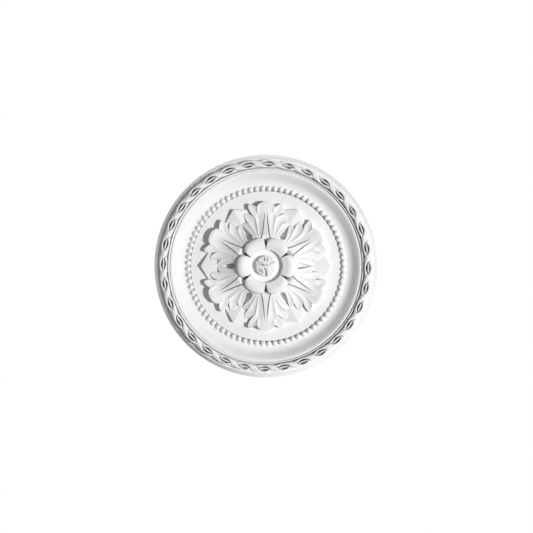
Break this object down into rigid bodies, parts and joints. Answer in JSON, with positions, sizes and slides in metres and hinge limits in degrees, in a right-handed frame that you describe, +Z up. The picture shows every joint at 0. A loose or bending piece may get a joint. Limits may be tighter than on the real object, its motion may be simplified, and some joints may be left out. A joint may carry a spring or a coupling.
{
  "type": "ceiling rose",
  "caption": "Round moulded ceiling rose: flower and acanthus leaves on a dished field, with a bead ring, a cove and a ribbon-twist rim.",
  "frame": {"origin": "centre of the flat back, on the face that is glued to the ceiling", "axes": "+Z up, out of the flat back into the ceiling; the relief hangs below towards -Z; a leaf's midrib lies along +Y and -Y"},
  "size_m": [0.28, 0.28, 0.0316],
  "materials": {
    "white_primer": "matt white primer over rigid polyurethane foam"
  },
  "bodies": {
    "root": {"ceiling_rose": "white_primer"}
  },
  "joints": []
}
